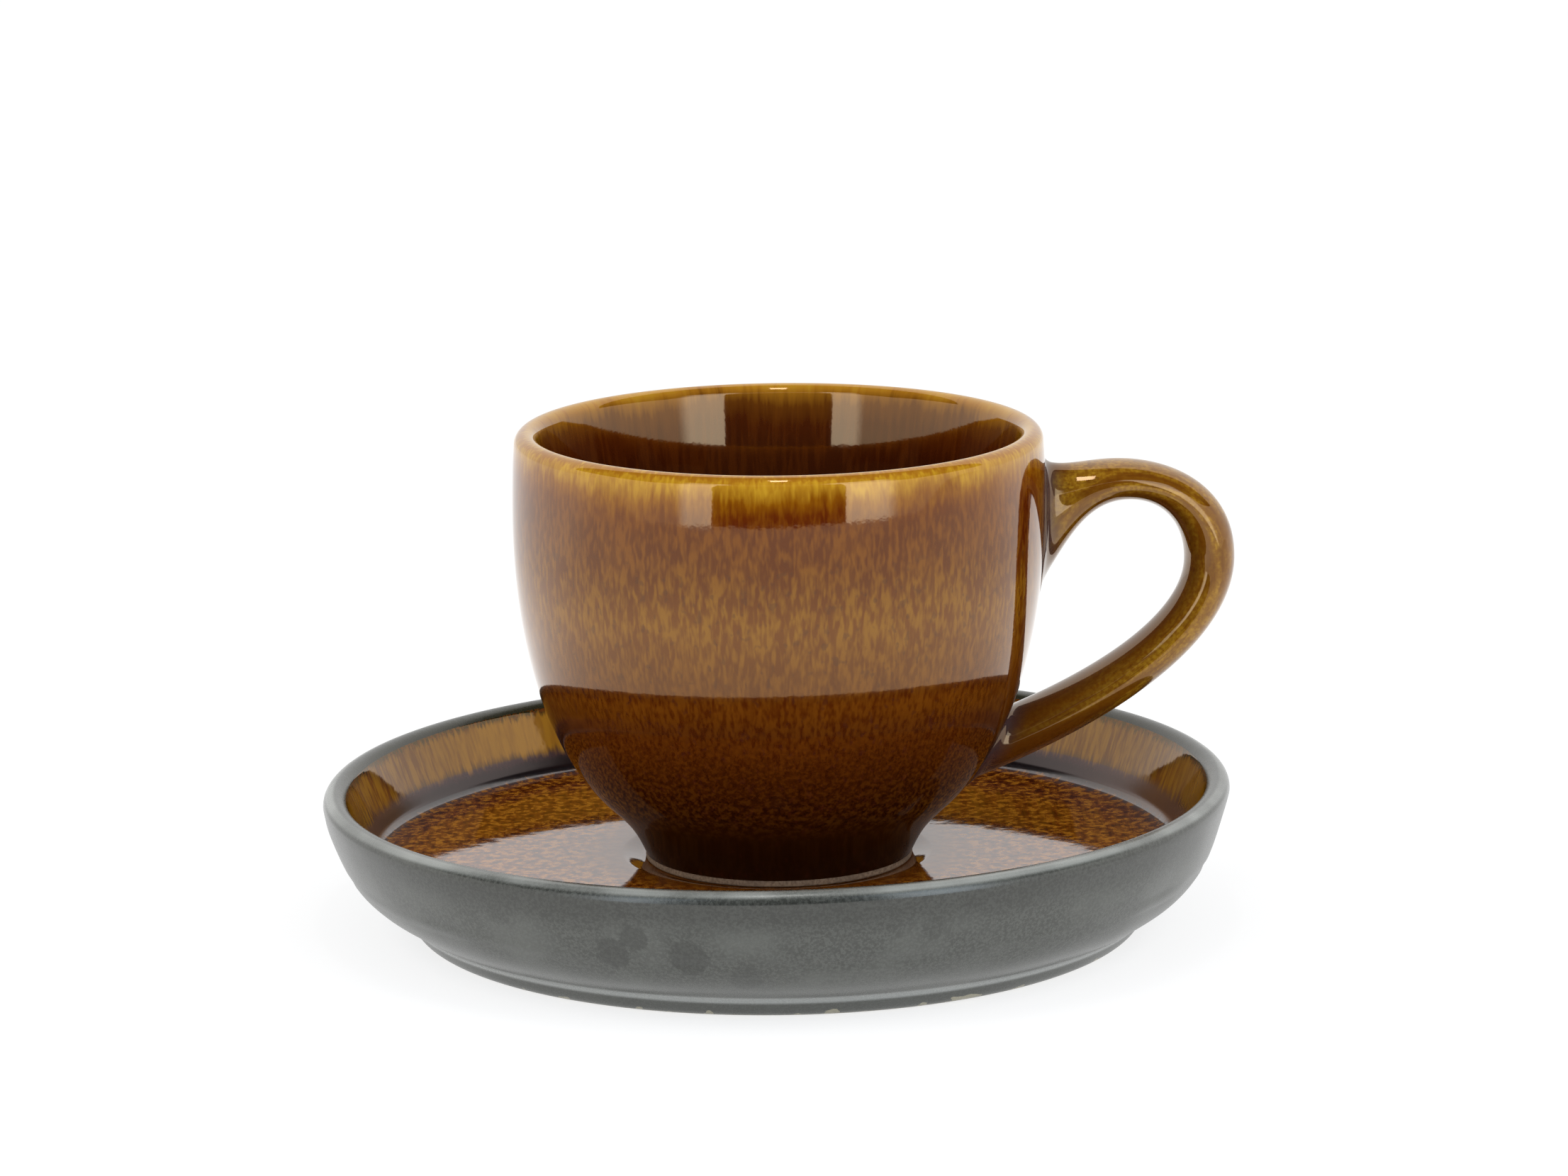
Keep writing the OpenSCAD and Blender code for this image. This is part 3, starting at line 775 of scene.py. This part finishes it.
cupMarks = {
    "girth": 33,
    # width and length of the marks on a wall of that radius
    "hair": (0.9, 7.0), "drift": (9.0, 14.0), "dash": (0.55, 2.0), "cell": (0.55, 1.3),
    "patch": (3.2, 6.5), "eye": (0.9, 1.3),
    # how far hairs and drifts carry the colours up and down, and the heights over which they begin to
    "hairSway": 3.6, "driftSway": 4.0, "swayHeights": (6, 22),
    "dashHeights": (24, 33),  # over which short flecks give way to long dashes
    "eyeHeights": (44, 49),   # over which the dark spots end
    "eyeColour": (0.05, 0.010, 0.006), "insideHair": (0.13, 0.030, 0.002),
    "crestRun": 0.9, "crestWander": 2.4, "crestColour": (0.25, 0.075, 0.004),
    "rootWays": (0.3, 2.2), "rootColour": (0.045, 0.03, 0.035),
}


def cupMaterial(user, marks, stand):
    material, n, shader = newMaterial("cupGlaze")
    p = potPlaces(n)
    height = n.math("SUBTRACT", p["z"], stand)
    girth = marks["girth"]
    hair = n.noise(wrapped(n, p, girth, *marks["hair"]), 1.0, 2.0, 0.55)
    drift = n.noise(wrapped(n, p, girth, *marks["drift"], 3.0), 1.0, 2.0)
    dash = n.noise(wrapped(n, p, girth, *marks["dash"], 7.0), 1.0, 1.0, 0.5, 0.2)
    cell = n.noise(wrapped(n, p, girth, *marks["cell"], 17.0), 1.0, 1.0, 0.5)
    patch = n.noise(wrapped(n, p, girth, *marks["patch"], 11.0), 1.0, 1.0)
    sway = n.math("MULTIPLY_ADD", n.math("SUBTRACT", hair, 0.5), marks["hairSway"],
                  n.math("MULTIPLY", n.math("SUBTRACT", drift, 0.5), marks["driftSway"]))
    place = n.math("MULTIPLY_ADD", sway, n.ramp(height, *marks["swayHeights"]), height)
    low = n.colours(place, 60.0, glazeLow)
    fleck = n.colours(place, 60.0, glazeFleck)
    # long dashes above, short flecks below, and slow patches of more or less gold
    above = n.math("ADD", n.ramp(dash, 0.34, 0.72), n.math("MULTIPLY", n.math("SUBTRACT", patch, 0.5), 1.0))
    below = n.math("ADD", n.ramp(cell, 0.30, 0.62), n.math("MULTIPLY", n.math("SUBTRACT", patch, 0.5), 0.6))
    pattern = n.math("MULTIPLY_ADD", n.math("SUBTRACT", above, below),
                     n.ramp(place, *marks["dashHeights"]), below, clamp=True)
    outside = n.mix(pattern, low, fleck)
    # dark spots among the flecks, up to the belly
    eyes = n.noise(wrapped(n, p, girth, *marks["eye"], 23.0), 1.0, 1.0)
    eyes = n.math("MULTIPLY", n.ramp(eyes, 0.60, 0.74, 0, 0.55), n.ramp(height, *marks["eyeHeights"], 1, 0))
    outside = n.mix(eyes, outside, marks["eyeColour"])
    inside = n.colours(n.math("SUBTRACT", n.math("MULTIPLY", p["run"], -1.0), sway), 80.0, glazeInside)
    inside = n.mix(n.ramp(hair, 0.42, 0.66, 0, 0.22), inside, marks["insideHair"])
    colour = n.mix(n.ramp(p["run"], -0.4, 0.4), inside, outside)
    # an orange-brown line wanders along the lip's crest
    crest = n.math("ABSOLUTE", n.math("MULTIPLY_ADD", n.math("SUBTRACT", cell, 0.5), marks["crestWander"],
                                      n.math("SUBTRACT", p["run"], marks["crestRun"])))
    colour = n.mix(n.ramp(crest, 0.2, 0.8, 0.6, 0), colour, marks["crestColour"])
    # the glaze pools dark and violet against the handle
    near = n.attribute("toHandle")
    colour = n.mix(n.ramp(near, *marks["rootWays"], 0.85, 0), colour, marks["rootColour"])
    n.feed(shader.inputs["Base Color"], colour)
    glossy(n, shader, user)
    glazeSkin(n, shader, p, user)
    return material


def makeCup(user, strapTree):
    outline = cupOutline(user)
    lipTop = max(range(len(outline)), key=lambda i: outline[i][1])
    bm = revolve(outline, user["steps"], lipTop)
    leanOver(bm, user)
    near = bm.verts.layers.float.new("toHandle")
    side = user["handleSide"]
    for v in bm.verts:
        v[near] = strapTree.find_nearest(v.co)[3] if v.co.x > side and v.co.z > side else user["far"]
    runLayer = bm.verts.layers.float["run"]
    glazeEnd = min(v[runLayer] for v in bm.verts if v.co.z < user["stand"] + user["footBand"] + 0.01
                   and v[runLayer] > 0)
    paintRuns(bm, [(-1000, glazeEnd), (glazeEnd, 1000)])
    finishPiece(bm, "glazedCup", [cupMaterial(amber, cupMarks, user["stand"]), clayMaterial(bareClay)],
                "cup", "cup_body")


# Handle

handle = {
    "around": 48,
    "rings": (44, 26, 52),
    # stops of the outer edge and of the finger gap's edge: (x, height), or (None, height, wall height)
    # for one that ends inside the wall
    "outerStops": [(None, 54.3, 52.7), (45.53, 51.8), (61.0, 38.3), (None, 8.3, 9.1)],
    "gapStops": [(None, 32.3, 33.9), (46.83, 46.4), (54.4, 37.9), (None, 17.7, 18.5)],
    "outerShares": [[(0.15, 1.76), (0.54, 0.92)], [(0.5, 0.02), (1, 0.33)], [(0, 0.36), (0.36, 0.725)]],
    "gapShares": [[(0.37, 0.485), (0.5, 1.025)], [(0.55, 0.025), (1, 0.4)], [(0, 0.36), (0.4, 0.71)]],
    "sunk": 1.6,
    "halfWidth": 4.8, "upperFlare": 1.4, "lowerFlare": 0.9, "flareShare": 0.22,
    "fillet": 1.5,
}


def wallPlace(outline, height):
    # the cup's outside radius at a height above its foot, and how upright its wall is there, up to 1
    for (r0, z0), (r1, z1) in zip(outline, outline[1:]):
        if z0 <= height <= z1:
            share = (height - z0) / (z1 - z0)
            return r0 + (r1 - r0) * share, (z1 - z0) / math.dist((r0, z0), (r1, z1))
    return (outline[-1][0], 1) if height > outline[-1][1] else (outline[0][0], 1)


def railPoints(stops, shares, counts, wall, sunk):
    # pulls are shares of the way from stop to stop, in X and in height
    places = [(wallPlace(wall, s[2])[0] - sunk, s[1]) if s[0] is None else s for s in stops]
    points = [places[0]]
    for start, end, pulls, count in zip(places, places[1:], shares, counts):
        near, far = (tuple(a + (b - a) * s for a, b, s in zip(start, end, pull)) for pull in pulls)
        points += curvePoints(start, near, far, end, count + 1)
    return points


def handleShape(user, cupUser):
    # a sheet rolled up into a strap along its two edges, with a glaze fillet where it meets the bowl
    wall = cupOuterOutline(cupUser)
    outer = railPoints(user["outerStops"], user["outerShares"], user["rings"], wall, user["sunk"])
    gap = railPoints(user["gapStops"], user["gapShares"], user["rings"], wall, user["sunk"])
    last = len(outer) - 1
    bm = bmesh.new()
    bmesh.ops.create_grid(bm, x_segments=last, y_segments=user["around"], size=0.5)
    along = bm.verts.layers.float.new("along")
    outward = bm.verts.layers.float.new("outward")
    facing = bm.verts.layers.float.new("facing")
    toBowl = bm.verts.layers.float.new("toBowl")
    for v in bm.verts:
        share = v.co.x + 0.5
        turn = (v.co.y + 0.5) * math.tau
        out, inn = (Vector((q[0], 0, q[1])) for q in (outer[round(share * last)], gap[round(share * last)]))
        width = (user["halfWidth"] + user["upperFlare"] * max(0, 1 - share / user["flareShare"]) ** 2
                 + user["lowerFlare"] * max(0, 1 - (1 - share) / user["flareShare"]) ** 2)
        mid = (out + inn) / 2
        v.co = mid + (out - mid) * math.cos(turn) + Vector((0, width * math.sin(turn), 0))
        radius, upright = wallPlace(wall, v.co.z)
        clear = (math.hypot(v.co.x, v.co.y) - radius) * upright
        fillet = user["fillet"]
        if clear < fillet:
            push = fillet - math.sqrt(fillet ** 2 - (fillet - max(clear, 0)) ** 2)
            v.co += (v.co - mid).normalized() * push
        v[along] = share
        v[outward] = math.cos(turn)
        v[toBowl] = clear
    bmesh.ops.remove_doubles(bm, verts=bm.verts, dist=0.0005)
    bmesh.ops.holes_fill(bm, edges=[e for e in bm.edges if e.is_boundary], sides=0)
    bmesh.ops.recalc_face_normals(bm, faces=bm.faces)
    for v in bm.verts:
        v[facing] = v.normal.z
        v.co.z += cupUser["stand"]
    leanOver(bm, cupUser)
    return bm


strapMarks = {
    "fine": 0.6,
    "broad": (6.0, 1.3), "thin": (22.0, 5.0),    # how often the runs repeat along and round the strap
    "amber": (0.20, 0.080, 0.004), "gold": (0.31, 0.158, 0.010),
    "broadColour": (0.12, 0.036, 0.002), "thinColour": (0.10, 0.028, 0.002),
    "lowEnd": (0.78, 0.97), "lowColour": (0.08, 0.022, 0.002),      # shares of the way to the lower root
    # the last colour on the next line is painted shade for the strap's underside
    "gapColour": (0.08, 0.020, 0.002), "underShade": (0.09, 0.024, 0.002),
    "rootWays": (0.2, 3.2), "rootColour": (0.04, 0.026, 0.03),
}


def strapRuns(n, share, outward, facing, repeats):
    along, across = repeats
    return n.noise(n.join(n.math("MULTIPLY", share, along), n.math("MULTIPLY", outward, across),
                          n.math("MULTIPLY", facing, across)), 1.0, 2.0)


def handleMaterial(user, marks):
    material, n, shader = newMaterial("handleGlaze")
    p = potPlaces(n)
    share = n.attribute("along")
    clear = n.attribute("toBowl")
    fine = n.noise(flat(n, p, marks["fine"]), 1.0, 2.0, 0.6)
    # brown runs along the strap, broad ones and thin ones
    outward, facing = n.attribute("outward"), n.attribute("facing")
    broad = strapRuns(n, share, outward, facing, marks["broad"])
    thin = strapRuns(n, share, outward, facing, marks["thin"])
    colour = n.mix(n.ramp(fine, 0.34, 0.66), marks["amber"], marks["gold"])
    colour = n.mix(n.ramp(broad, 0.44, 0.62, 0, 0.85), colour, marks["broadColour"])
    colour = n.mix(n.ramp(thin, 0.5, 0.66, 0, 0.6), colour, marks["thinColour"])
    colour = n.mix(n.ramp(share, *marks["lowEnd"], 0, 0.7), colour, marks["lowColour"])
    # darker brown on the side of the finger gap, and painted shade wherever the strap faces down
    brown = n.ramp(n.math("MULTIPLY_ADD", broad, 0.5, outward), -0.75, 0.25, 0.8, 0)
    colour = n.mix(brown, colour, marks["gapColour"])
    # painted shade on the strap's downward faces
    below = n.ramp(n.math("MULTIPLY_ADD", fine, 0.4, facing), -0.75, -0.05, 0.6, 0)
    colour = n.mix(below, colour, marks["underShade"])
    colour = n.mix(n.ramp(clear, *marks["rootWays"], 0.9, 0), colour, marks["rootColour"])
    n.feed(shader.inputs["Base Color"], colour)
    glossy(n, shader, user)
    glazeSkin(n, shader, p, user)
    return material


strap = handleShape(handle, cup)
makeCup(cup, BVHTree.FromBMesh(strap))
finishPiece(strap, "glazedHandle", [handleMaterial(amber, strapMarks)], "cup", "cup_handle")


bpy.context.scene.view_settings.view_transform = "Standard"
